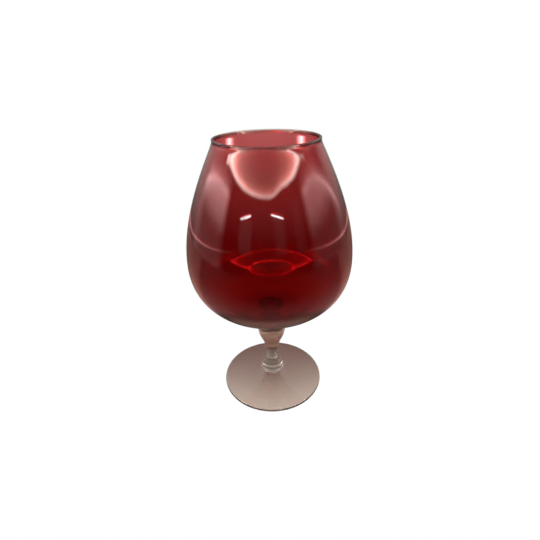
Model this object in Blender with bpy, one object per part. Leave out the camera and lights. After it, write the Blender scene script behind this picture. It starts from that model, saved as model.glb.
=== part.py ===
"""Oversized brandy snifter: a ruby glass bowl with a clear lip, on a clear two-gather stem and foot.

Every piece is turned about the Z axis. The origin is where that axis meets the table, +Z is up,
and every length is in metres. The pieces are fused hot on the real glass, so each one meets the
next at a flat joint face, with a hair of clearance between the two faces.
"""

import math

import bmesh
import bpy

# Driving dimensions
HEIGHT = 0.250
BELLY_RADIUS = 0.0739
MOUTH_RADIUS = 0.0432
FOOT_RADIUS = 0.0513

# Joints, from the table up
FOOT_TOP = 0.0090            # the foot's crown, where the knop is stuck on
KNOP_TOP = 0.0290            # the narrow joint between the two gathers of the stem
STEM_TOP = 0.0902            # where the bowl's underside is stuck on
JOINT_GAP = 0.0003
JOINT_RADIUS_FOOT = 0.0078
JOINT_RADIUS_WAIST = 0.0056
JOINT_RADIUS_BOWL = 0.0125

# Bowl
BELLY_HEIGHT = 0.587 * HEIGHT
BELLY_HANDLE_UP = 0.0444     # how long the belly stays near its full width, upwards
BELLY_HANDLE_DOWN = 0.0278
UNDERSIDE_ANGLE = math.radians(4.8)
UNDERSIDE_HANDLE = 0.0454
MOUTH_ANGLE = math.radians(21.6)
MOUTH_HANDLE = 0.0118
BASE_WALL = 0.0030
RIM_WALL = 0.0018
FLOOR_THICKNESS = 0.0046     # thicker in the middle of the bottom, over the stem
FLOOR_RADIUS = 0.0330        # where the thick middle has run out into the even wall

# Lip
LIP_HEIGHT = 0.0022
LIP_OVERHANG = 0.0001        # the fire-polished bead is this much wider than the wall, on each side

# Stem
SHOULDER_RADIUS = 0.0137     # widest part of the stem's upper gather
SHOULDER_HEIGHT = 0.0655
SHOULDER_HANDLE_DOWN = 0.0085
SHOULDER_HANDLE_UP = 0.0075
NECK_RADIUS = 0.0088         # narrowest part between that and the bowl
NECK_HEIGHT = 0.0840
NECK_HANDLE_DOWN = 0.0070
NECK_HANDLE_UP = 0.0035
FLARE_HANDLE = (0.0098, 0.0894)
WAIST_RADIUS = 0.00585
WAIST_TOP = 0.0375
WAIST_BOTTOM = 0.0315
WAIST_HANDLE = (0.0060, 0.0470)
KNOP_RADIUS = 0.01155
KNOP_HEIGHT = 0.0150
KNOP_HANDLE_DOWN = 0.0030
KNOP_HANDLE_UP = 0.0035
KNOP_FOOT_HANDLE = (0.0098, 0.0098)
KNOP_WAIST_HANDLE = (0.0076, 0.0245)

# Foot
EDGE_THICKNESS = 0.0032
LAND_RADIUS = 0.0440         # the foot stands on the flat ring outside this radius
KICK_HEIGHT = 0.0018         # how far the middle of the underside is pushed up
KICK_HANDLE_RADIUS = 0.0180
LAND_HANDLE_RADIUS = 0.0300
SLOPE_HANDLE = (0.0300, 0.0046)   # the foot's top rises gently from its edge
CROWN_HANDLE = (0.0140, 0.0056)   # and more steeply up to the knop

# Facets
BOWL_FACETS = 64
STEM_FACETS = 40
CURVE_STEPS = 9

RUBY = (0.35, 0.004, 0.006, 1.0)
CLEAR = (0.80, 0.76, 0.73, 1.0)


def bezier(start, start_handle, end_handle, end, steps=CURVE_STEPS):
    """Points (radius, height) along one cubic curve, both ends included."""
    points = []
    for i in range(steps + 1):
        t = i / steps
        s = 1.0 - t
        weights = (s ** 3, 3 * s * s * t, 3 * s * t * t, t ** 3)
        corners = (start, start_handle, end_handle, end)
        points.append(tuple(sum(w * c[axis] for w, c in zip(weights, corners)) for axis in (0, 1)))
    return points


def arc(centre, radius, start_degrees, end_degrees, steps):
    """Points (radius, height) along a round edge, both ends included."""
    points = []
    for i in range(steps + 1):
        angle = math.radians(start_degrees + (end_degrees - start_degrees) * i / steps)
        points.append((centre[0] + radius * math.cos(angle), centre[1] + radius * math.sin(angle)))
    return points


def inset(outline, start_wall, end_wall):
    """The outline moved towards its left by a wall that changes evenly along it."""
    last = len(outline) - 1
    moved = []
    for i, (radius, height) in enumerate(outline):
        before = outline[max(i - 1, 0)]
        after = outline[min(i + 1, last)]
        along = (after[0] - before[0], after[1] - before[1])
        length = math.hypot(*along)
        wall = start_wall + (end_wall - start_wall) * i / last
        moved.append((radius - wall * along[1] / length, height + wall * along[0] / length))
    return moved


def glass(name, colour, roughness):
    material = bpy.data.materials.new(name)
    material.use_nodes = True
    shader = material.node_tree.nodes["Principled BSDF"]
    shader.inputs["Base Color"].default_value = colour
    shader.inputs["Roughness"].default_value = roughness
    shader.inputs["Metallic"].default_value = 0.0
    shader.inputs["IOR"].default_value = 1.5
    shader.inputs["Transmission Weight"].default_value = 0.9
    material.diffuse_color = colour
    return material


def turned(name, outline, facets, material):
    """A solid of revolution. The outline runs up the outer side, and back to its start inside.

    A point on the axis becomes one vertex, and any other point becomes a ring.
    """
    mesh = bmesh.new()
    rings = []
    for radius, height in outline:
        if radius < 1e-6:
            rings.append([mesh.verts.new((0.0, 0.0, height))])
            continue
        angles = [2 * math.pi * i / facets for i in range(facets)]
        rings.append([mesh.verts.new((radius * math.cos(a), radius * math.sin(a), height)) for a in angles])
    closed = len(rings[0]) > 1
    pairs = list(zip(rings, rings[1:]))
    if closed:
        pairs.append((rings[-1], rings[0]))
    for low, high in pairs:
        for i in range(facets):
            j = (i + 1) % facets
            if len(low) == 1:
                corners = (low[0], high[j], high[i])
            elif len(high) == 1:
                corners = (low[i], low[j], high[0])
            else:
                corners = (low[i], low[j], high[j], high[i])
            mesh.faces.new(corners)
    data = bpy.data.meshes.new(name)
    mesh.to_mesh(data)
    mesh.free()
    data.shade_smooth()
    data.set_sharp_from_angle(angle=math.radians(40))
    data.materials.append(material)
    piece = bpy.data.objects.new(name, data)
    bpy.context.scene.collection.objects.link(piece)
    return piece


def bowl_outer_side(top):
    """From the stem joint, round the belly, up to the given height under the lip."""
    bottom = STEM_TOP + JOINT_GAP
    belly = (BELLY_RADIUS, BELLY_HEIGHT)
    below_belly = (BELLY_RADIUS, BELLY_HEIGHT - BELLY_HANDLE_DOWN)
    above_belly = (BELLY_RADIUS, BELLY_HEIGHT + BELLY_HANDLE_UP)
    joint_handle = (
        JOINT_RADIUS_BOWL + UNDERSIDE_HANDLE * math.cos(UNDERSIDE_ANGLE),
        bottom + UNDERSIDE_HANDLE * math.sin(UNDERSIDE_ANGLE),
    )
    rim = (MOUTH_RADIUS - LIP_OVERHANG, top)
    rim_handle = (
        rim[0] + MOUTH_HANDLE * math.sin(MOUTH_ANGLE),
        top - MOUTH_HANDLE * math.cos(MOUTH_ANGLE),
    )
    lower = bezier((JOINT_RADIUS_BOWL, bottom), joint_handle, below_belly, belly)
    upper = bezier(belly, above_belly, rim_handle, rim)
    return lower + upper[1:]


def build_bowl(material):
    """The blown ruby vessel, open at the top, with a flat seat for the stem."""
    top = HEIGHT - LIP_HEIGHT - JOINT_GAP
    outer = bowl_outer_side(top)
    inner = inset(outer, BASE_WALL, RIM_WALL)
    inner[-1] = (outer[-1][0] - RIM_WALL, top)
    wall = [point for point in inner if point[0] > FLOOR_RADIUS]
    edge, after_edge = wall[0], wall[1]
    floor = outer[0][1] + FLOOR_THICKNESS
    slope = (after_edge[1] - edge[1]) / (after_edge[0] - edge[0])
    run_out = 0.2 * edge[0]
    edge_handle = (edge[0] - run_out, edge[1] - run_out * slope)
    bottom = bezier((0.0, floor), (0.5 * edge[0], floor), edge_handle, edge, steps=5)
    seat = (0.0, outer[0][1])
    inside = bottom + wall[1:]
    return turned("bowl", [seat] + outer + inside[::-1], BOWL_FACETS, material)


def build_lip(material):
    """The clear, fire-polished bead round the mouth, flat only where it sits on the wall."""
    seat = HEIGHT - LIP_HEIGHT
    half_width = RIM_WALL / 2 + LIP_OVERHANG
    middle = MOUTH_RADIUS - half_width
    crown = arc((middle, HEIGHT - half_width), half_width, 0, 180, 8)
    outline = [(MOUTH_RADIUS, seat)] + crown + [(middle - half_width, seat)]
    return turned("lip", outline, BOWL_FACETS, material)


def build_stem_upper(material):
    """The inverted baluster: a pinched neck under the bowl, a broad shoulder and a drawn waist."""
    bottom = KNOP_TOP + JOINT_GAP
    waist = bezier(
        (WAIST_RADIUS, WAIST_TOP),
        WAIST_HANDLE,
        (SHOULDER_RADIUS, SHOULDER_HEIGHT - SHOULDER_HANDLE_DOWN),
        (SHOULDER_RADIUS, SHOULDER_HEIGHT),
    )
    shoulder = bezier(
        (SHOULDER_RADIUS, SHOULDER_HEIGHT),
        (SHOULDER_RADIUS, SHOULDER_HEIGHT + SHOULDER_HANDLE_UP),
        (NECK_RADIUS, NECK_HEIGHT - NECK_HANDLE_DOWN),
        (NECK_RADIUS, NECK_HEIGHT),
        steps=7,
    )
    flare = bezier(
        (NECK_RADIUS, NECK_HEIGHT),
        (NECK_RADIUS, NECK_HEIGHT + NECK_HANDLE_UP),
        FLARE_HANDLE,
        (JOINT_RADIUS_BOWL, STEM_TOP),
        steps=4,
    )
    foot_end = [(0.0, bottom), (JOINT_RADIUS_WAIST, bottom), (WAIST_RADIUS, WAIST_BOTTOM)]
    outline = foot_end + waist + shoulder[1:] + flare[1:] + [(0.0, STEM_TOP)]
    return turned("stem_upper", outline, STEM_FACETS, material)


def build_stem_knop(material):
    """The lower gather: a pear-shaped knop, broadest just above the foot."""
    bottom = FOOT_TOP + JOINT_GAP
    widest = (KNOP_RADIUS, KNOP_HEIGHT)
    below_widest = (KNOP_RADIUS, KNOP_HEIGHT - KNOP_HANDLE_DOWN)
    above_widest = (KNOP_RADIUS, KNOP_HEIGHT + KNOP_HANDLE_UP)
    under = bezier((JOINT_RADIUS_FOOT, bottom), KNOP_FOOT_HANDLE, below_widest, widest, steps=5)
    neck = bezier(widest, above_widest, KNOP_WAIST_HANDLE, (JOINT_RADIUS_WAIST, KNOP_TOP), steps=8)
    return turned("stem_knop", [(0.0, bottom)] + under + neck[1:] + [(0.0, KNOP_TOP)], STEM_FACETS, material)


def build_foot(material):
    """The disc foot: a flat ring to stand on, a kicked-up middle and a gently coned top."""
    edge_radius = EDGE_THICKNESS / 2
    edge = arc((FOOT_RADIUS - edge_radius, edge_radius), edge_radius, -90, 80, 6)
    top = bezier(edge[-1], SLOPE_HANDLE, CROWN_HANDLE, (JOINT_RADIUS_FOOT, FOOT_TOP))
    kick_handle = (KICK_HANDLE_RADIUS, KICK_HEIGHT)
    kick = bezier((0.0, KICK_HEIGHT), kick_handle, (LAND_HANDLE_RADIUS, 0.0), (LAND_RADIUS, 0.0), steps=6)
    return turned("foot", kick + edge + top[1:] + [(0.0, FOOT_TOP)], BOWL_FACETS, material)


def main():
    for item in list(bpy.data.objects):
        bpy.data.objects.remove(item, do_unlink=True)
    build_bowl(glass("ruby_bowl", RUBY, 0.02))
    build_lip(glass("clear_lip", CLEAR, 0.02))
    build_stem_upper(glass("clear_stem_upper", CLEAR, 0.03))
    build_stem_knop(glass("clear_stem_knop", CLEAR, 0.03))
    build_foot(glass("clear_foot", CLEAR, 0.03))


main()
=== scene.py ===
"""An oversized brandy snifter: a ruby glass bowl with a clear lip, on a clear stem and disc foot.

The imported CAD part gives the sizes. Every piece here is a finer solid of revolution that stands for
one CAD node, with a glass material of its own. All lengths are in metres.
"""

import math

import bmesh
import bpy
from mathutils import Matrix, Vector


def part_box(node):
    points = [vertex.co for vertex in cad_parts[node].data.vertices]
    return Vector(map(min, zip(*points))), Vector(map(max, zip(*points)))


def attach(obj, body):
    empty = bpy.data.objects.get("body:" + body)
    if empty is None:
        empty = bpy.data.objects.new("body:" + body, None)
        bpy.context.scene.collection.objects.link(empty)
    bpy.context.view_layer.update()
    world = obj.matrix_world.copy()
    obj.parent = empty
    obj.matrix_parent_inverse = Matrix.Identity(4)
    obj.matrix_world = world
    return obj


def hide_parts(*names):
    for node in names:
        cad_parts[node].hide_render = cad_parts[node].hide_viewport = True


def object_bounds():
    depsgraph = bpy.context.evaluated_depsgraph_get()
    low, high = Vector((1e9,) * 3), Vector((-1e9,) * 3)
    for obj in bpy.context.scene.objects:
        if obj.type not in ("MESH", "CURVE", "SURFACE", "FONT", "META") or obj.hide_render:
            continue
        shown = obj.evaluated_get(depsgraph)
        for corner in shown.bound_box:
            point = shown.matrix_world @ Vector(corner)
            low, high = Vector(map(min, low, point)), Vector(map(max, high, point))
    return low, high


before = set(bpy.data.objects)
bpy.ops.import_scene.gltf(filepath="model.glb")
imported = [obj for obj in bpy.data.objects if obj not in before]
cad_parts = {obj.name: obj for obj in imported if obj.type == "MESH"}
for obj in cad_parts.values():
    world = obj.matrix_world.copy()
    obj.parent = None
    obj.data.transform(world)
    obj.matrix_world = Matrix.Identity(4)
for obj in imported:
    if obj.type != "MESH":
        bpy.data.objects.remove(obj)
cad_low, cad_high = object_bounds()

# ---------------------------------------------------------------- sizes read from the frame
HEIGHT = cad_high.z
BELLY_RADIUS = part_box("bowl")[1].x
BOWL_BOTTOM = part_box("bowl")[0].z
BOWL_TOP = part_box("bowl")[1].z
MOUTH_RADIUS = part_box("lip")[1].x
SHOULDER_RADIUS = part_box("stem_upper")[1].x
KNOP_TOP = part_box("stem_knop")[1].z
KNOP_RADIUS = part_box("stem_knop")[1].x
FOOT_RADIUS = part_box("foot")[1].x
FOOT_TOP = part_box("foot")[1].z

# ---------------------------------------------------------------- the rest of the shape
FUSED = 0.0003               # how far each piece runs on into the next, where they are fused
JOINT_RADIUS_FOOT = 0.0078
JOINT_RADIUS_WAIST = 0.0056
JOINT_RADIUS_BOWL = 0.0125

BELLY_HEIGHT = 0.587 * HEIGHT
BELLY_HANDLE_UP = 0.0444
BELLY_HANDLE_DOWN = 0.0278
UNDERSIDE_ANGLE = math.radians(4.8)
UNDERSIDE_HANDLE = 0.0454
MOUTH_ANGLE = math.radians(21.6)
MOUTH_HANDLE = 0.0118
BASE_WALL = 0.0030
RIM_WALL = 0.0018
FLOOR_THICKNESS = 0.0046
FLOOR_RADIUS = 0.0330
FLOOR_HANDLE_SHARE = 0.5     # the inside floor's curve, as shares of its radius
FLOOR_RUN_OUT_SHARE = 0.2
LIP_OVERHANG = 0.0001
LIP_ROUNDING = 0.0005
BLADE_HEIGHT = 0.0019        # the ruby wall runs up into the lip, and thins out to nothing
LIP_GROOVE_DEPTH = 0.00004   # how deep the lip is fused into that thin crest

SHOULDER_HEIGHT = 0.0655
SHOULDER_HANDLE_DOWN = 0.0085
SHOULDER_HANDLE_UP = 0.0075
NECK_RADIUS = 0.0088
NECK_HEIGHT = 0.0840
NECK_HANDLE_DOWN = 0.0070
NECK_HANDLE_UP = 0.0035
FLARE_HANDLE = (0.0098, 0.0894)
WAIST_RADIUS = 0.00585
WAIST_TOP = 0.0375
WAIST_BOTTOM = 0.0315
WAIST_HANDLE = (0.0060, 0.0470)
KNOP_HEIGHT = 0.0150
KNOP_HANDLE_DOWN = 0.0030
KNOP_HANDLE_UP = 0.0035
KNOP_FOOT_HANDLE = (0.0098, 0.0098)
KNOP_WAIST_HANDLE = (0.0076, 0.0245)

EDGE_THICKNESS = 0.0032
EDGE_TURN = (-90, 80)        # the round edge, in degrees from straight down to almost straight up
LAND_RADIUS = 0.0440
KICK_HEIGHT = 0.0018
KICK_HANDLE_RADIUS = 0.0180
LAND_HANDLE_RADIUS = 0.0300
SLOPE_HANDLE = (0.0300, 0.0046)
CROWN_HANDLE = (0.0140, 0.0056)

BOWL_FACETS = 192
STEM_FACETS = 96
CURVE_STEPS = 40
SHORT_CURVE_STEPS = 20
FLAT_CURVE_STEPS = 24
LIP_EDGE_STEPS = 8
SHARP_ANGLE = math.radians(40)
ON_AXIS = 1e-6               # a point closer to the axis than this is on it


def bezier(start, start_handle, end_handle, end, steps=CURVE_STEPS):
    """Points (radius, height) along one cubic curve, both ends included."""
    points = []
    for i in range(steps + 1):
        t = i / steps
        s = 1.0 - t
        weights = (s ** 3, 3 * s * s * t, 3 * s * t * t, t ** 3)
        corners = (start, start_handle, end_handle, end)
        points.append(tuple(sum(w * c[axis] for w, c in zip(weights, corners)) for axis in (0, 1)))
    return points


def arc(centre, radius, start_degrees, end_degrees, steps):
    """Points (radius, height) along a round edge, both ends included."""
    points = []
    for i in range(steps + 1):
        angle = math.radians(start_degrees + (end_degrees - start_degrees) * i / steps)
        points.append((centre[0] + radius * math.cos(angle), centre[1] + radius * math.sin(angle)))
    return points


def inset(outline, start_wall, end_wall):
    """The outline moved towards its left by a wall that changes evenly along it."""
    last = len(outline) - 1
    moved = []
    for i, (radius, height) in enumerate(outline):
        before = outline[max(i - 1, 0)]
        after = outline[min(i + 1, last)]
        along = (after[0] - before[0], after[1] - before[1])
        length = math.hypot(*along)
        wall = start_wall + (end_wall - start_wall) * i / last
        moved.append((radius - wall * along[1] / length, height + wall * along[0] / length))
    return moved


def turned(name, outline, facets, material):
    """A solid of revolution. The outline runs up the outer side, and back to its start inside."""
    mesh = bmesh.new()
    rings = []
    for radius, height in outline:
        if radius < ON_AXIS:
            rings.append([mesh.verts.new((0.0, 0.0, height))])
            continue
        angles = [2 * math.pi * i / facets for i in range(facets)]
        rings.append([mesh.verts.new((radius * math.cos(a), radius * math.sin(a), height)) for a in angles])
    pairs = list(zip(rings, rings[1:]))
    if len(rings[0]) > 1:
        pairs.append((rings[-1], rings[0]))
    for low, high in pairs:
        for i in range(facets):
            j = (i + 1) % facets
            if len(low) == 1:
                corners = (low[0], high[j], high[i])
            elif len(high) == 1:
                corners = (low[i], low[j], high[0])
            else:
                corners = (low[i], low[j], high[j], high[i])
            mesh.faces.new(corners)
    data = bpy.data.meshes.new(name)
    mesh.to_mesh(data)
    mesh.free()
    data.shade_smooth()
    data.set_sharp_from_angle(angle=SHARP_ANGLE)
    data.materials.append(material)
    piece = bpy.data.objects.new(name, data)
    bpy.context.scene.collection.objects.link(piece)
    return piece


def build_bowl(material):
    belly = (BELLY_RADIUS, BELLY_HEIGHT)
    joint_handle = (
        JOINT_RADIUS_BOWL + UNDERSIDE_HANDLE * math.cos(UNDERSIDE_ANGLE),
        BOWL_BOTTOM + UNDERSIDE_HANDLE * math.sin(UNDERSIDE_ANGLE),
    )
    rim = (MOUTH_RADIUS - LIP_OVERHANG, BOWL_TOP)
    rim_handle = (
        rim[0] + MOUTH_HANDLE * math.sin(MOUTH_ANGLE),
        BOWL_TOP - MOUTH_HANDLE * math.cos(MOUTH_ANGLE),
    )
    below_belly = (BELLY_RADIUS, BELLY_HEIGHT - BELLY_HANDLE_DOWN)
    above_belly = (BELLY_RADIUS, BELLY_HEIGHT + BELLY_HANDLE_UP)
    lower = bezier((JOINT_RADIUS_BOWL, BOWL_BOTTOM), joint_handle, below_belly, belly)
    outer = lower + bezier(belly, above_belly, rim_handle, rim)[1:]
    inner = inset(outer, BASE_WALL, RIM_WALL)
    inner[-1] = (rim[0] - RIM_WALL, BOWL_TOP)
    wall = [point for point in inner if point[0] > FLOOR_RADIUS]
    edge, after_edge = wall[0], wall[1]
    floor = BOWL_BOTTOM + FLOOR_THICKNESS
    slope = (after_edge[1] - edge[1]) / (after_edge[0] - edge[0])
    run_out = FLOOR_RUN_OUT_SHARE * edge[0]
    edge_handle = (edge[0] - run_out, edge[1] - run_out * slope)
    floor_handle = (FLOOR_HANDLE_SHARE * edge[0], floor)
    bottom = bezier((0.0, floor), floor_handle, edge_handle, edge, steps=FLAT_CURVE_STEPS)
    inside = bottom + wall[1:]
    crest = [(rim[0] - RIM_WALL / 2, BOWL_TOP + BLADE_HEIGHT)]
    return turned("bowl_ruby", [(0.0, BOWL_BOTTOM)] + outer + crest + inside[::-1], BOWL_FACETS, material)


def build_lip(material):
    """A bead of clear glass, which closes over the thin crest of the ruby wall."""
    half_width = RIM_WALL / 2 + LIP_OVERHANG
    middle = MOUTH_RADIUS - half_width
    seat = BOWL_TOP - FUSED
    outer_centre = (MOUTH_RADIUS - LIP_ROUNDING, HEIGHT - LIP_ROUNDING)
    inner_centre = (middle - half_width + LIP_ROUNDING, HEIGHT - LIP_ROUNDING)
    outer_edge = arc(outer_centre, LIP_ROUNDING, 0, 90, LIP_EDGE_STEPS)
    inner_edge = arc(inner_centre, LIP_ROUNDING, 90, 180, LIP_EDGE_STEPS)
    groove_half = RIM_WALL / 2 - LIP_GROOVE_DEPTH
    groove = [
        (middle - groove_half, seat),
        (middle, BOWL_TOP + BLADE_HEIGHT - LIP_GROOVE_DEPTH),
        (middle + groove_half, seat),
    ]
    outline = [(MOUTH_RADIUS, seat)] + outer_edge + inner_edge + [(middle - half_width, seat)] + groove
    return turned("lip_clear", outline, BOWL_FACETS, material)


def build_stem_upper(material):
    bottom = KNOP_TOP - FUSED
    top = BOWL_BOTTOM + FUSED
    widest = (SHOULDER_RADIUS, SHOULDER_HEIGHT)
    below_widest = (SHOULDER_RADIUS, SHOULDER_HEIGHT - SHOULDER_HANDLE_DOWN)
    above_widest = (SHOULDER_RADIUS, SHOULDER_HEIGHT + SHOULDER_HANDLE_UP)
    neck = (NECK_RADIUS, NECK_HEIGHT)
    below_neck = (NECK_RADIUS, NECK_HEIGHT - NECK_HANDLE_DOWN)
    above_neck = (NECK_RADIUS, NECK_HEIGHT + NECK_HANDLE_UP)
    waist = bezier((WAIST_RADIUS, WAIST_TOP), WAIST_HANDLE, below_widest, widest)
    shoulder = bezier(widest, above_widest, below_neck, neck)
    flare = bezier(neck, above_neck, FLARE_HANDLE, (JOINT_RADIUS_BOWL, BOWL_BOTTOM), SHORT_CURVE_STEPS)
    start = [(0.0, bottom), (JOINT_RADIUS_WAIST, bottom), (WAIST_RADIUS, WAIST_BOTTOM)]
    outline = start + waist + shoulder[1:] + flare[1:] + [(JOINT_RADIUS_BOWL, top), (0.0, top)]
    return turned("stem_upper_clear", outline, STEM_FACETS, material)


def build_stem_knop(material):
    bottom = FOOT_TOP - FUSED
    widest = (KNOP_RADIUS, KNOP_HEIGHT)
    below_widest = (KNOP_RADIUS, KNOP_HEIGHT - KNOP_HANDLE_DOWN)
    above_widest = (KNOP_RADIUS, KNOP_HEIGHT + KNOP_HANDLE_UP)
    foot_joint = (JOINT_RADIUS_FOOT, FOOT_TOP)
    under = bezier(foot_joint, KNOP_FOOT_HANDLE, below_widest, widest, SHORT_CURVE_STEPS)
    neck = bezier(widest, above_widest, KNOP_WAIST_HANDLE, (JOINT_RADIUS_WAIST, KNOP_TOP))
    outline = [(0.0, bottom), (JOINT_RADIUS_FOOT, bottom)] + under + neck[1:] + [(0.0, KNOP_TOP)]
    return turned("stem_knop_clear", outline, STEM_FACETS, material)


def build_foot(material):
    edge_radius = EDGE_THICKNESS / 2
    edge = arc((FOOT_RADIUS - edge_radius, edge_radius), edge_radius, *EDGE_TURN, SHORT_CURVE_STEPS)
    top = bezier(edge[-1], SLOPE_HANDLE, CROWN_HANDLE, (JOINT_RADIUS_FOOT, FOOT_TOP))
    kick_handle = (KICK_HANDLE_RADIUS, KICK_HEIGHT)
    land_handle = (LAND_HANDLE_RADIUS, 0.0)
    kick = bezier((0.0, KICK_HEIGHT), kick_handle, land_handle, (LAND_RADIUS, 0.0), FLAT_CURVE_STEPS)
    return turned("foot_clear", kick + edge + top[1:] + [(0.0, FOOT_TOP)], BOWL_FACETS, material)


# ---------------------------------------------------------------- shader nodes
class Graph:
    """Short calls for wiring the nodes of one material or world."""

    def __init__(self, tree):
        self.tree = tree
        tree.nodes.clear()

    def add(self, kind, inputs=None, **settings):
        """A new node, with its inputs by name or number and its settings by name."""
        node = self.tree.nodes.new(kind)
        for key, value in settings.items():
            setattr(node, key, value)
        for key, value in (inputs or {}).items():
            self.put(node.inputs[key], value)
        return node

    def put(self, socket, value):
        """Links an output to the socket, or sets the socket to a plain value."""
        if isinstance(value, bpy.types.NodeSocket):
            self.tree.links.new(value, socket)
        else:
            socket.default_value = value

    def math(self, operation, *values):
        return self.add("ShaderNodeMath", dict(enumerate(values)), operation=operation).outputs[0]

    def plus(self, first, *others):
        for other in others:
            first = self.math("ADD", first, other)
        return first

    def minus(self, first, other):
        return self.math("SUBTRACT", first, other)

    def times(self, first, *others):
        for other in others:
            first = self.math("MULTIPLY", first, other)
        return first

    def over(self, first, other):
        return self.math("DIVIDE", first, other)

    def past(self, value, start):
        """How far a value is past start, and 0 before it."""
        return self.math("MAXIMUM", self.minus(value, start), 0.0)

    def ramp(self, value, start, end, low=0.0, high=1.0):
        """low before start, high after end, and smooth between. It falls if start is above end."""
        node = self.add("ShaderNodeMapRange", interpolation_type="SMOOTHSTEP")
        self.put(node.inputs["Value"], value)
        self.put(node.inputs["From Min"], start)
        self.put(node.inputs["From Max"], end)
        self.put(node.inputs["To Min"], low)
        self.put(node.inputs["To Max"], high)
        return node.outputs["Result"]

    def between(self, value, first, last, soft_in, soft_out):
        """1 from first to last and 0 outside, with a soft step at each end."""
        rise = self.ramp(value, first - soft_in, first + soft_in)
        fall = self.ramp(value, last - soft_out, last + soft_out, 1.0, 0.0)
        return self.times(rise, fall)

    def hump(self, value, centre, width):
        """A soft peak, 1 at centre."""
        away = self.over(self.minus(value, centre), width)
        return self.math("EXPONENT", self.times(away, away, -1.0))

    def fall_off(self, value, reach):
        """1 at 0, fading away over reach."""
        return self.math("EXPONENT", self.over(value, -reach))

    def length(self, side, other):
        return self.math("SQRT", self.plus(self.times(side, side), self.times(other, other)))

    def colour(self, tint, amount):
        """A tint scaled by an amount."""
        node = self.add("ShaderNodeVectorMath", {0: tint}, operation="SCALE")
        self.put(node.inputs["Scale"], amount)
        return node.outputs[0]

    def add_colours(self, *colours):
        total = colours[0]
        for other in colours[1:]:
            total = self.add("ShaderNodeVectorMath", {0: total, 1: other}, operation="ADD").outputs[0]
        return total

    def white_to_camera(self, shader_kind, light):
        """Pure white where the camera sees it directly, and the light for every other ray."""
        seen = self.add("ShaderNodeLightPath").outputs["Is Camera Ray"]
        glow = self.add(shader_kind, {"Color": light, "Strength": 1.0})
        white = self.add(shader_kind, {"Color": (1.0, 1.0, 1.0, 1.0), "Strength": 1.0})
        mixed = self.add("ShaderNodeMixShader", {0: seen, 1: glow.outputs[0], 2: white.outputs[0]})
        return mixed.outputs[0]


# ---------------------------------------------------------------- glass
GLASS_IOR = 1.5
LIP_IOR = 1.25                # lower than in real glass, which keeps the lip's outline thin
WAVES = {"Scale": 38.0, "Detail": 1.0, "Roughness": 0.4}      # slow waves of a blown wall
CORDS = {"Scale": 260.0, "Detail": 2.0, "Roughness": 0.5}     # fine cords in the glass
WEAR = {"Scale": 900.0, "Detail": 3.0, "Roughness": 0.7}      # marks of handling
CORD_STRETCH = (1.0, 1.0, 0.12)                               # cords are drawn out upwards
WAVE_RELIEF = 0.8
CORD_RELIEF = 0.06
RELIEF_STRENGTH = 0.10
RELIEF_DEPTH = 0.0004
WEAR_RANGE = (0.3, 0.8)
WORN_ROUGHER = 2.0            # how many times as rough the most worn places are
MIX_FACTOR, MIX_FIRST, MIX_SECOND, MIX_RESULT = 0, 6, 7, 2    # the Mix node's colour sockets

# the ruby is coloured by its depth, and the clear glasses by a tint that the cords vary
RUBY_COLOUR = (0.82, 0.08, 0.11, 1.0)
RUBY_DENSITY = 1150.0
RUBY_TINTS = ((1.0, 0.985, 0.985, 1.0), (1.0, 1.0, 1.0, 1.0))
LIP_TINTS = ((1.0, 0.95, 0.94, 1.0), (1.0, 0.98, 0.97, 1.0))
STEM_TINTS = ((0.61, 0.67, 0.61, 1.0), (0.68, 0.73, 0.68, 1.0))
FOOT_TINTS = ((0.93, 0.93, 0.91, 1.0), (0.97, 0.98, 0.96, 1.0))
POLISHED = 0.03
LIP_POLISH = 0.04


def glass(name, tints, roughness, ior=GLASS_IOR, absorption=None):
    """Clear or coloured glass with the faint waviness and wear of hot-worked glass."""
    material = bpy.data.materials.new(name)
    material.use_nodes = True
    g = Graph(material.node_tree)
    place = g.add("ShaderNodeTexCoord").outputs["Object"]
    drawn = g.add("ShaderNodeMapping", {"Vector": place, "Scale": CORD_STRETCH}).outputs[0]
    waves = g.add("ShaderNodeTexNoise", {"Vector": place, **WAVES}).outputs["Fac"]
    cords = g.add("ShaderNodeTexNoise", {"Vector": drawn, **CORDS}).outputs["Fac"]
    wear = g.add("ShaderNodeTexNoise", {"Vector": place, **WEAR}).outputs["Fac"]
    relief = g.plus(g.times(waves, WAVE_RELIEF), g.times(cords, CORD_RELIEF))
    bump_inputs = {"Height": relief, "Strength": RELIEF_STRENGTH, "Distance": RELIEF_DEPTH}
    bump = g.add("ShaderNodeBump", bump_inputs)
    mix_inputs = {MIX_FACTOR: cords, MIX_FIRST: tints[0], MIX_SECOND: tints[1]}
    tone = g.add("ShaderNodeMix", mix_inputs, data_type="RGBA")
    shader = g.add(
        "ShaderNodeBsdfPrincipled",
        {
            "Base Color": tone.outputs[MIX_RESULT],
            "Roughness": g.ramp(wear, *WEAR_RANGE, roughness, roughness * WORN_ROUGHER),
            "IOR": ior,
            "Transmission Weight": 1.0,
            "Normal": bump.outputs["Normal"],
        },
    )
    output = g.add("ShaderNodeOutputMaterial", {"Surface": shader.outputs[0]})
    if absorption:
        colour, density = absorption
        inside = g.add("ShaderNodeVolumeAbsorption", {"Color": colour, "Density": density})
        g.put(output.inputs["Volume"], inside.outputs[0])
    return material


# ---------------------------------------------------------------- the pieces
ruby_glass = glass("ruby_glass", RUBY_TINTS, POLISHED, absorption=(RUBY_COLOUR, RUBY_DENSITY))
lip_glass = glass("lip_glass", LIP_TINTS, LIP_POLISH, ior=LIP_IOR)
stem_glass = glass("stem_glass", STEM_TINTS, POLISHED)
foot_glass = glass("foot_glass", FOOT_TINTS, POLISHED)

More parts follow.
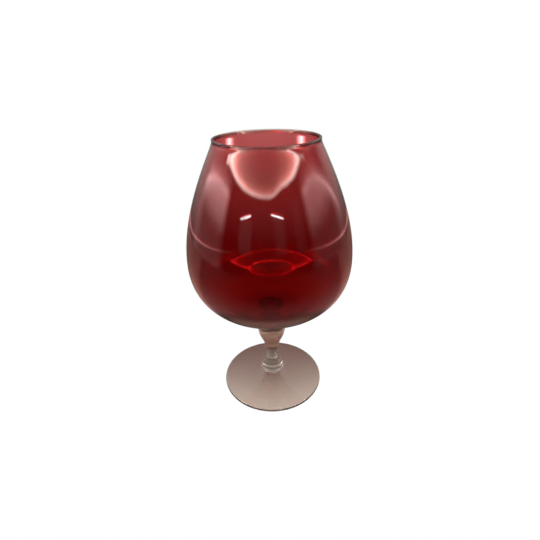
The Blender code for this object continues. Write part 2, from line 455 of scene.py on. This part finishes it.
for build, material, node, slot in (
    (build_bowl, ruby_glass, "bowl", "ruby_glass"),
    (build_lip, lip_glass, "lip", "clear_lip_glass"),
    (build_stem_upper, stem_glass, "stem_upper", "clear_stem_glass"),
    (build_stem_knop, stem_glass, "stem_knop", "clear_stem_glass"),
    (build_foot, foot_glass, "foot", "clear_foot_glass"),
):
    piece = build(material)
    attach(piece, "root")
    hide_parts(node)


# ---------------------------------------------------------------- floor
# From here on, a group of numbers that shapes a light is (start, end, low, high), as Graph.ramp
# takes them after its value, or only (start, end) where it goes from 0 to 1.
FLOOR_REACH = 3.0 * HEIGHT
FLOOR_FACETS = 96
FLOOR_DROP = 0.0002           # the floor lies this far under the foot

# by the distance from the glass's axis
SHADOW_REACH = (0.24 * HEIGHT, 0.50 * HEIGHT, 1.0, 0.0)
SHADOW_MIDDLE = (0.0, 0.22 * HEIGHT, 0.65, 1.0)
OUTSIDE_SHADOW = (0.32 * HEIGHT, 0.52 * HEIGHT)
OUTWARD_FADE = (0.45 * HEIGHT, 1.6 * HEIGHT, 0.29, 0.12)
CAMERA_SIDE_DIMMING = (0.4 * HEIGHT, 1.3 * HEIGHT, 0.2, 0.9)

# by the distance behind the glass's axis
SHADOW_FRONT = (-0.28 * HEIGHT, 0.20 * HEIGHT, 1.0, 0.0)
BEHIND_GLASS = (0.10 * HEIGHT, 0.35 * HEIGHT)
# painted light: red light from the ruby bowl, painted on the table behind the glass
PAINTED_RED_LIGHT_END = (0.55 * HEIGHT, 0.95 * HEIGHT, 1.0, 0.0)
# painted light: the table grows brighter far behind the glass
FAR_BACK = (1.2 * HEIGHT, 3.0 * HEIGHT)

# by the way a point lies from the axis: 1 is straight back, and -1 is straight to the camera
TURN_TO_BACK = (0.5, 0.85, 1.0, 0.0)
TURN_TO_CAMERA = (-0.3, -1.0)

EVERYWHERE_COLOUR = (0.02, 0.004, 0.004)
SHADOW_COLOUR = (0.11, 0.055, 0.04)
# painted light and shade under the foot: paler towards the front, darker right under the knop
SHADOW_FRONT_PAINTED_LIGHT = (0.46, 0.41, 0.35)
# painted light: a bright pool on the table round the glass, outside its shadow and strongest towards the
# back
PAINTED_LIGHT_AROUND_COLOUR = (1.50, 1.0, 0.92)
# painted light and shade: the table behind the glass, dim and reddish as it lies in the bowl's shadow
PAINTED_BEHIND_COLOUR = (0.24, 0.12, 0.09)
# painted light: red light from the ruby bowl, painted on the table behind the glass
PAINTED_RED_LIGHT_COLOUR = (0.11, 0.04, 0.03)
# painted light: the table grows brighter far behind the glass
PAINTED_FAR_LIGHT_COLOUR = (0.20, 0.18, 0.16)


def floor_disc():
    mesh = bmesh.new()
    ring = []
    for i in range(FLOOR_FACETS):
        angle = 2 * math.pi * i / FLOOR_FACETS
        place = (FLOOR_REACH * math.cos(angle), FLOOR_REACH * math.sin(angle), -FLOOR_DROP)
        ring.append(mesh.verts.new(place))
    mesh.faces.new(ring)
    data = bpy.data.meshes.new("floor")
    mesh.to_mesh(data)
    mesh.free()
    return data


def floor_material():
    """White to the camera. The glass sees a table in soft light, all of it a painted glow: the glass's own
    painted shadow, a painted pool of light round it, and painted red light from the ruby behind it.
    """
    material = bpy.data.materials.new("floor_surface")
    material.use_nodes = True
    g = Graph(material.node_tree)
    where = g.add("ShaderNodeSeparateXYZ", {0: g.add("ShaderNodeNewGeometry").outputs["Position"]})
    side, back = where.outputs["X"], where.outputs["Y"]
    away = g.length(side, back)
    way = g.over(back, away)
    shadow = g.ramp(away, *SHADOW_REACH)
    # painted light and shade under the foot: paler towards the front, darker right under the knop
    shadow_front = g.times(g.ramp(back, *SHADOW_FRONT), g.ramp(away, *SHADOW_MIDDLE))
    outside = g.ramp(away, *OUTSIDE_SHADOW)
    camera_side = g.times(g.ramp(way, *TURN_TO_CAMERA), g.ramp(away, *CAMERA_SIDE_DIMMING))
    # painted light: a bright pool on the table round the glass, outside its shadow, dimmed on the camera
    # side
    painted_light_around = g.times(
        outside,
        g.ramp(way, *TURN_TO_BACK),
        g.ramp(away, *OUTWARD_FADE),
        g.minus(1.0, camera_side),
    )
    # painted light and shade: the table behind the glass, dim and reddish as it lies in the bowl's shadow
    behind = g.times(g.ramp(back, *BEHIND_GLASS), outside)
    # painted light: red light from the ruby bowl, painted on the table behind the glass
    painted_red_light = g.times(behind, g.ramp(back, *PAINTED_RED_LIGHT_END))
    table = g.add_colours(
        g.colour(EVERYWHERE_COLOUR, 1.0),
        g.colour(SHADOW_COLOUR, shadow),
        g.colour(SHADOW_FRONT_PAINTED_LIGHT, g.times(shadow, shadow_front)),
        g.colour(PAINTED_LIGHT_AROUND_COLOUR, painted_light_around),
        g.colour(PAINTED_BEHIND_COLOUR, behind),
        g.colour(PAINTED_RED_LIGHT_COLOUR, painted_red_light),
        g.colour(PAINTED_FAR_LIGHT_COLOUR, g.ramp(back, *FAR_BACK)),
    )
    g.add("ShaderNodeOutputMaterial", {"Surface": g.white_to_camera("ShaderNodeEmission", table)})
    return material


floor_data = floor_disc()
floor_data.materials.append(floor_material())
floor = bpy.data.objects.new("floor", floor_data)
bpy.context.scene.collection.objects.link(floor)

# ---------------------------------------------------------------- studio
# Everything here is placed by a bearing round the glass and a height over the horizon, in degrees.
# Bearing 0 is towards the camera and positive bearings are to the right. "Round" is a bearing
# without its sign, and a pair called RIGHT_LEFT is the value on the right and the one on the left.

# a lit ceiling panel, bright along its border
BORDER_HEIGHT = 28.3
BORDER_RISE = (3.0, 26.0, 0.0, 2.6)          # by bearing: the border is higher on the right
CORNER_START_RIGHT_LEFT = (56.0, 61.0)       # where the border starts to fall towards its ends
CORNER_LENGTH_RIGHT_LEFT = (15.5, 16.5)
CORNER_POWER = 3.0
PANEL_END_RIGHT_LEFT = (78.5, 85.0)
PANEL_END_SOFTNESS = 0.5
PANEL_EDGE = (-0.5, 0.3)                     # by the distance over the border
PANEL_OVERHEAD = (45.0, 70.0, 1.0, 0.35)     # by height
PANEL_LEVEL = 0.8
PANEL_SIDE_LEVEL = 2.0                       # how much brighter the panel gets towards its ends
PANEL_SIDE_START = 60.0
PANEL_SIDE_LIMIT = 75.0
PANEL_SIDE_POWER = 2.5
PANEL_TINT = (1.1, 0.96, 0.92)
STRIP_EDGE = (-0.7, 1.3)                     # by the distance over the border
STRIP_WIDTH = 1.3
STRIP_LEVEL_FRONT = (5.0, 50.0, 4.5, 8.0)    # by round
STRIP_LEVEL_SIDE = (55.0, 78.0, 0.0, 4.0)
STRIP_FALL_OFF = 0.95
STRIP_TINT = (1.0, 0.98, 1.0)
HALO_FALL_OFF = 2.6
HALO_TINT = (0.90, 0.38, 0.22)

# a side window on each side, with a curved top edge
WINDOW_TOP_RIGHT_LEFT = (24.0, 22.0)
WINDOW_BOW_START = 68.0
WINDOW_BOW_LENGTH_RIGHT_LEFT = (11.0, 14.0)
WINDOW_EDGE_RIGHT_LEFT = (57.0, 65.0)
WINDOW_EDGE = (-5.0, 7.0)                    # by the distance past the window's near edge
WINDOW_END = (112.0, 128.0, 1.0, 0.0)        # by round
WINDOW_TOP_EDGE = (-1.0, 1.5)                # by the distance under the top edge
PANE_UPWARD = (2.0, 17.0, 0.14, 1.0)         # by height
PANE_LEVEL_RIGHT_LEFT = (1.5, 2.5)
RIDGE_FALL_OFF = 2.4
RIDGE_LEVEL_RIGHT_LEFT = (2.4, 3.6)
WINDOW_TINT = (1.35, 1.0, 0.98)

# the walls of the room, with a few dim upright shapes on the wall behind the camera
WALL_UPWARD = (2.0, 26.0, 0.01, 0.22)        # by height
WALL_UNDER_PANEL = (-0.7, 0.4, 1.0, 0.0)     # by the distance over the panel's border
SIDE_START = (104.0, 126.0)                  # by round
SIDE_UPWARD = (-14.0, 8.0, 0.16, 0.8)        # by height
SIDE_TO_BACK = (142.0, 165.0, 1.0, 0.45)     # by round
DIM_SHAPES = (                               # bearings from and to, heights from and to, level
    (-41.0, -24.0, 1.0, 18.0, 0.20),
    (8.0, 22.0, 1.0, 20.0, 0.12),
    (36.0, 50.0, 0.0, 24.0, 0.10),
)
DIM_SHAPE_SOFTNESS = 1.0
DIM_SHAPE_FOOT_SOFTNESS = 3.0
WALL_TINT = (1.2, 0.95, 0.92)

# a pale skirting line, low on both sides
SKIRTING_HEIGHT = -3.6
SKIRTING_FROM = 70.0
SKIRTING_SLOPE = -0.135                      # degrees down for each degree round
SKIRTING_WIDTH = 0.55
SKIRTING_START = (40.0, 96.0, 0.0, 1.3)      # by round
SKIRTING_END = (112.0, 130.0, 1.0, 0.4)
SKIRTING_TINT = (2.2, 0.9, 0.9)

# two tubes
TUBES = (                                    # bearings from and to, height at bearing 0, slope
    (-40.9, -26.0, 26.0, 0.215),
    (3.7, 20.9, 22.6, -0.145),
)
TUBE_SOFTNESS = 0.5
TUBE_WIDTH = 0.3
TUBE_LEVEL = 45.0
TUBE_TINT = (1.0, 1.0, 1.0)

# a soft glow behind the glass, with a narrow light at either side of the mouth
BACK_SIDES = (150.0, 168.0)                  # by round
BACK_TOP = (4.0, -2.0)                       # by height
BACK_DOWNWARD = (-11.0, -17.0, 0.54, 0.28)
BACK_TINT = (1.0, 1.25, 1.15)
STREAK_BEARINGS = (-173.5, 174.0)
STREAK_WIDTH = 0.50
STREAK_BOTTOM = (-10.8, -9.6)                # by height
STREAK_TOP = (0.0, -4.0)
STREAK_LEVEL = 11.0
STREAK_TINT = (0.5, 1.0, 0.93)

# a ring lamp high over the glass: an ellipse in the direction's own x and y, which run from -1 to 1
RING_CENTRE = (-0.037, -0.163)
RING_RADII = (0.448, 0.32)
RING_WIDTH = 0.05
RING_TINT = (22.0, 0.10, 0.06)


class Look:
    """The direction that the world is seen in, as values for the world's nodes."""

    def __init__(self, g):
        self.graph = g
        direction = g.add("ShaderNodeTexCoord").outputs["Generated"]
        self.x, self.y, self.z = g.add("ShaderNodeSeparateXYZ", {0: direction}).outputs
        self.bearing = g.math("DEGREES", g.math("ARCTAN2", self.x, g.times(self.y, -1.0)))
        self.height = g.math("DEGREES", g.math("ARCSINE", self.z))
        self.round = g.math("ABSOLUTE", self.bearing)
        self.on_left = g.math("LESS_THAN", self.bearing, 0.0)

    def by_side(self, right_left):
        """The first value on the right, and the second on the left."""
        right, left = right_left
        return self.graph.plus(right, self.graph.times(self.on_left, left - right))


def over_border(g, look):
    """How far a direction is over the ceiling panel's border, and inside its ends."""
    past_corner = g.past(look.round, look.by_side(CORNER_START_RIGHT_LEFT))
    drop = g.math("POWER", g.over(past_corner, look.by_side(CORNER_LENGTH_RIGHT_LEFT)), CORNER_POWER)
    border = g.minus(g.plus(BORDER_HEIGHT, g.ramp(look.bearing, *BORDER_RISE)), drop)
    to_end = g.minus(look.by_side(PANEL_END_RIGHT_LEFT), look.round)
    return g.math("MINIMUM", g.minus(look.height, border), g.times(to_end, PANEL_END_SOFTNESS))


def ceiling_light(g, look, above):
    towards_end = g.over(g.math("MINIMUM", look.round, PANEL_SIDE_LIMIT), PANEL_SIDE_START)
    extra = g.times(g.math("POWER", towards_end, PANEL_SIDE_POWER), PANEL_SIDE_LEVEL)
    panel = g.times(
        g.ramp(above, *PANEL_EDGE),
        g.plus(PANEL_LEVEL, extra),
        g.ramp(look.height, *PANEL_OVERHEAD),
    )
    inward = g.past(above, STRIP_WIDTH)
    level = g.plus(g.ramp(look.round, *STRIP_LEVEL_FRONT), g.ramp(look.round, *STRIP_LEVEL_SIDE))
    border = g.times(g.ramp(above, *STRIP_EDGE), level)
    return (
        g.colour(PANEL_TINT, panel),
        g.colour(STRIP_TINT, g.times(border, g.fall_off(inward, STRIP_FALL_OFF))),
        g.colour(HALO_TINT, g.times(border, g.fall_off(inward, HALO_FALL_OFF))),
    )


def window_light(g, look):
    bow = g.over(g.past(look.round, WINDOW_BOW_START), look.by_side(WINDOW_BOW_LENGTH_RIGHT_LEFT))
    top = g.minus(look.by_side(WINDOW_TOP_RIGHT_LEFT), g.times(bow, bow))
    under = g.minus(top, look.height)
    past_edge = g.minus(look.round, look.by_side(WINDOW_EDGE_RIGHT_LEFT))
    span = g.times(g.ramp(past_edge, *WINDOW_EDGE), g.ramp(look.round, *WINDOW_END))
    pane = g.times(g.ramp(under, *WINDOW_TOP_EDGE), g.ramp(look.height, *PANE_UPWARD), span)
    ridge = g.times(g.fall_off(g.math("ABSOLUTE", under), RIDGE_FALL_OFF), span)
    bright_pane = g.times(pane, look.by_side(PANE_LEVEL_RIGHT_LEFT))
    bright_ridge = g.times(ridge, look.by_side(RIDGE_LEVEL_RIGHT_LEFT))
    return g.colour(WINDOW_TINT, g.plus(bright_pane, bright_ridge))


def wall_light(g, look, above):
    front = g.times(g.ramp(look.height, *WALL_UPWARD), g.ramp(above, *WALL_UNDER_PANEL))
    sides = g.times(
        g.ramp(look.round, *SIDE_START),
        g.ramp(look.height, *SIDE_UPWARD),
        g.ramp(look.round, *SIDE_TO_BACK),
    )
    walls = g.plus(front, sides)
    for first, last, low, high, level in DIM_SHAPES:
        across = g.between(look.bearing, first, last, DIM_SHAPE_SOFTNESS, DIM_SHAPE_SOFTNESS)
        upward = g.between(look.height, low, high, DIM_SHAPE_FOOT_SOFTNESS, DIM_SHAPE_SOFTNESS)
        walls = g.plus(walls, g.times(across, upward, level))
    return g.colour(WALL_TINT, walls)


def skirting_light(g, look):
    middle = g.plus(SKIRTING_HEIGHT, g.times(g.minus(look.round, SKIRTING_FROM), SKIRTING_SLOPE))
    span = g.times(g.ramp(look.round, *SKIRTING_START), g.ramp(look.round, *SKIRTING_END))
    return g.colour(SKIRTING_TINT, g.times(g.hump(look.height, middle, SKIRTING_WIDTH), span))


def tube_light(g, look):
    total = 0.0
    for first, last, height, slope in TUBES:
        middle = g.plus(height, g.times(look.bearing, slope))
        span = g.between(look.bearing, first, last, TUBE_SOFTNESS, TUBE_SOFTNESS)
        total = g.plus(total, g.times(g.hump(look.height, middle, TUBE_WIDTH), span, TUBE_LEVEL))
    return g.colour(TUBE_TINT, total)


def back_light(g, look):
    downward = g.times(g.ramp(look.height, *BACK_TOP), g.ramp(look.height, *BACK_DOWNWARD))
    return g.colour(BACK_TINT, g.times(g.ramp(look.round, *BACK_SIDES), downward))


def streak_light(g, look):
    both = g.plus(*(g.hump(look.bearing, bearing, STREAK_WIDTH) for bearing in STREAK_BEARINGS))
    upward = g.times(g.ramp(look.height, *STREAK_BOTTOM), g.ramp(look.height, *STREAK_TOP))
    return g.colour(STREAK_TINT, g.times(both, upward, STREAK_LEVEL))


def ring_light(g, look):
    across = g.over(g.minus(look.x, RING_CENTRE[0]), RING_RADII[0])
    along = g.over(g.minus(look.y, RING_CENTRE[1]), RING_RADII[1])
    ring = g.hump(g.length(across, along), 1.0, RING_WIDTH)
    return g.colour(RING_TINT, g.times(ring, g.math("GREATER_THAN", look.z, 0.0)))


def build_world():
    """A white backdrop for the camera, and a soft room for everything that the glass reflects."""
    world = bpy.data.worlds.new("studio")
    bpy.context.scene.world = world
    world.use_nodes = True
    g = Graph(world.node_tree)
    look = Look(g)
    above = over_border(g, look)
    light = g.add_colours(
        *ceiling_light(g, look, above),
        window_light(g, look),
        wall_light(g, look, above),
        skirting_light(g, look),
        tube_light(g, look),
        back_light(g, look),
        streak_light(g, look),
        ring_light(g, look),
    )
    g.add("ShaderNodeOutputWorld", {"Surface": g.white_to_camera("ShaderNodeBackground", light)})


build_world()

# ---------------------------------------------------------------- camera
CAMERA_BACK = 1.19777 * HEIGHT
CAMERA_UP = 1.17992 * HEIGHT
CAMERA_DOWN_TILT = math.radians(28.624)
CAMERA_ROLL = math.radians(-1.552)
CAMERA_LENS = 24.33
SENSOR_WIDTH = 36.0
NEAREST_SEEN = 0.01
LEVEL_WITH_HORIZON = math.radians(90.0)

lens = bpy.data.cameras.new("camera")
lens.lens = CAMERA_LENS
lens.sensor_width = SENSOR_WIDTH
lens.clip_start = NEAREST_SEEN
camera = bpy.data.objects.new("camera", lens)
camera.matrix_world = (
    Matrix.Translation(Vector((0.0, -CAMERA_BACK, CAMERA_UP)))
    @ Matrix.Rotation(LEVEL_WITH_HORIZON - CAMERA_DOWN_TILT, 4, "X")
    @ Matrix.Rotation(CAMERA_ROLL, 4, "Z")
)
bpy.context.scene.collection.objects.link(camera)
bpy.context.scene.camera = camera

# enough for light to get through both walls, the stem and the foot
MOST_BOUNCES = 24
MOST_REFLECTIONS = 8

scene = bpy.context.scene
scene.view_settings.view_transform = "Standard"
scene.cycles.max_bounces = MOST_BOUNCES
scene.cycles.transmission_bounces = MOST_BOUNCES
scene.cycles.glossy_bounces = MOST_REFLECTIONS
